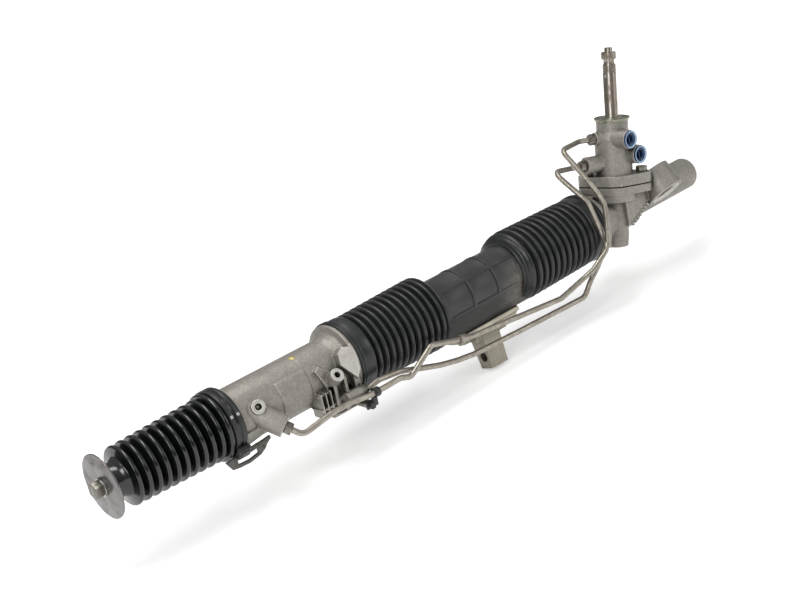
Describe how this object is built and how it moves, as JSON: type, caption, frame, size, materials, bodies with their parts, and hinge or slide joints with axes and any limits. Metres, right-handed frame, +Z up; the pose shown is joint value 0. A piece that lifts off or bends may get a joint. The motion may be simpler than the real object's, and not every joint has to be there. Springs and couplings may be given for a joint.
{
  "type": "power steering rack",
  "caption": "Hydraulic rack and pinion steering gear: a pinion with a rotary valve slides the rack, and a bracket under its middle moves the track rods.",
  "frame": {"origin": "middle of the bush bore by the gear housing, which bolts the rack to the car", "axes": "+X along the rack from its free end towards the gear housing's end, +Y towards the back, away from the hose ports, +Z up along the input shaft, which leans 9 degrees towards +X"},
  "size_m": [0.9676, 0.1153, 0.3146],
  "materials": {
    "casting": "sand-cast aluminium, satin and slightly grimy",
    "boot_rubber": "glossy moulded black rubber",
    "mid_boot_rubber": "satin moulded black rubber",
    "sleeve_plastic": "dark grey moulded plastic",
    "bracket_iron": "cast iron, yellowish at its machined edge",
    "machined_steel": "ground and machined steel",
    "bearing_steel": "polished bearing steel",
    "shaft_steel": "brown-tinted machined steel",
    "tube_steel": "drawn steel tube",
    "plated_steel": "zinc plated steel, faintly green",
    "pipe_steel": "plated steel pipe",
    "plate_steel": "turned steel plate",
    "bronze": "bronze bush",
    "guide_polymer": "dense bearing polymer",
    "seal_rubber": "black seal rubber",
    "seal_ring": "brown low-friction seal ring",
    "cap_blue": "blue plastic plug",
    "strap_black": "black plastic strap and clips"
  },
  "bodies": {
    "housing": {"cylinder_housing": "casting", "rod_bush_left": "bronze", "rod_seal_left": "seal_rubber", "rod_seal_right": "seal_rubber", "rod_bush_right": "bronze", "passage_ball": "bearing_steel", "centre_tube": "tube_steel", "gear_housing": "casting", "tube_end_cap": "plated_steel", "lower_bearing": "bronze", "pinion_cover": "plated_steel", "upper_bearing_outer": "bearing_steel", "upper_bearing_balls": "bearing_steel", "pinion_seal": "seal_rubber", "rack_guide": "guide_polymer", "guide_spring": "tube_steel", "guide_plug": "plated_steel", "guide_locknut": "plated_steel", "valve_housing": "casting", "flange_o_ring": "seal_rubber", "flange_bolts": "plated_steel", "input_bearing": "bronze", "input_seal": "seal_rubber", "dust_cover": "plated_steel", "port_caps": "cap_blue", "pipe_nuts": "plated_steel", "left_port_pipe": "pipe_steel", "mid_port_pipe": "pipe_steel", "pipe_clips": "strap_black", "left_boot": "boot_rubber", "left_boot_clamp": "strap_black", "mid_left_boot": "mid_boot_rubber", "mid_left_clamp": "strap_black", "mid_right_boot": "mid_boot_rubber", "mid_right_clamp": "strap_black"},
    "rack": {"rack_bar": "machined_steel", "piston": "machined_steel", "piston_ring": "seal_ring", "end_plate": "plate_steel", "spring_washer": "machined_steel", "end_bolt": "machined_steel", "boot_seat_ring": "machined_steel", "slider_block": "machined_steel", "slider_sleeve": "sleeve_plastic", "slider_bushes": "guide_polymer", "takeoff_bracket": "bracket_iron", "takeoff_bolts": "plated_steel"},
    "pinion": {"pinion_gear": "machined_steel", "upper_bearing_inner": "bearing_steel", "valve_sleeve": "machined_steel", "valve_rings": "seal_ring"},
    "input_shaft": {"input_shaft": "shaft_steel", "torsion_bar": "machined_steel", "torsion_pin": "machined_steel"}
  },
  "joints": [
    {"name": "rack_slide", "type": "slide", "parent": "housing", "child": "rack", "axis": [1, 0, 0], "range_m": [-0.066, 0.066], "deforming": ["left_boot", "mid_left_boot", "mid_right_boot"]},
    {"name": "pinion_turn", "type": "hinge", "parent": "housing", "child": "pinion", "pos_m": [-0.07, 0.01756, -0.02188], "axis": [0.1564, 0, 0.9877], "range_deg": [-540, 540]},
    {"name": "valve_twist", "type": "hinge", "parent": "pinion", "child": "input_shaft", "pos_m": [-0.07, 0.01756, -0.02188], "axis": [0.1564, 0, 0.9877], "range_deg": [-3.5, 3.5], "stiffness_Nm_per_rad": 36}
  ],
  "couplings": [
    {"joint": "pinion_turn", "follows": "rack_slide", "rad_per_m": -141.1}
  ]
}
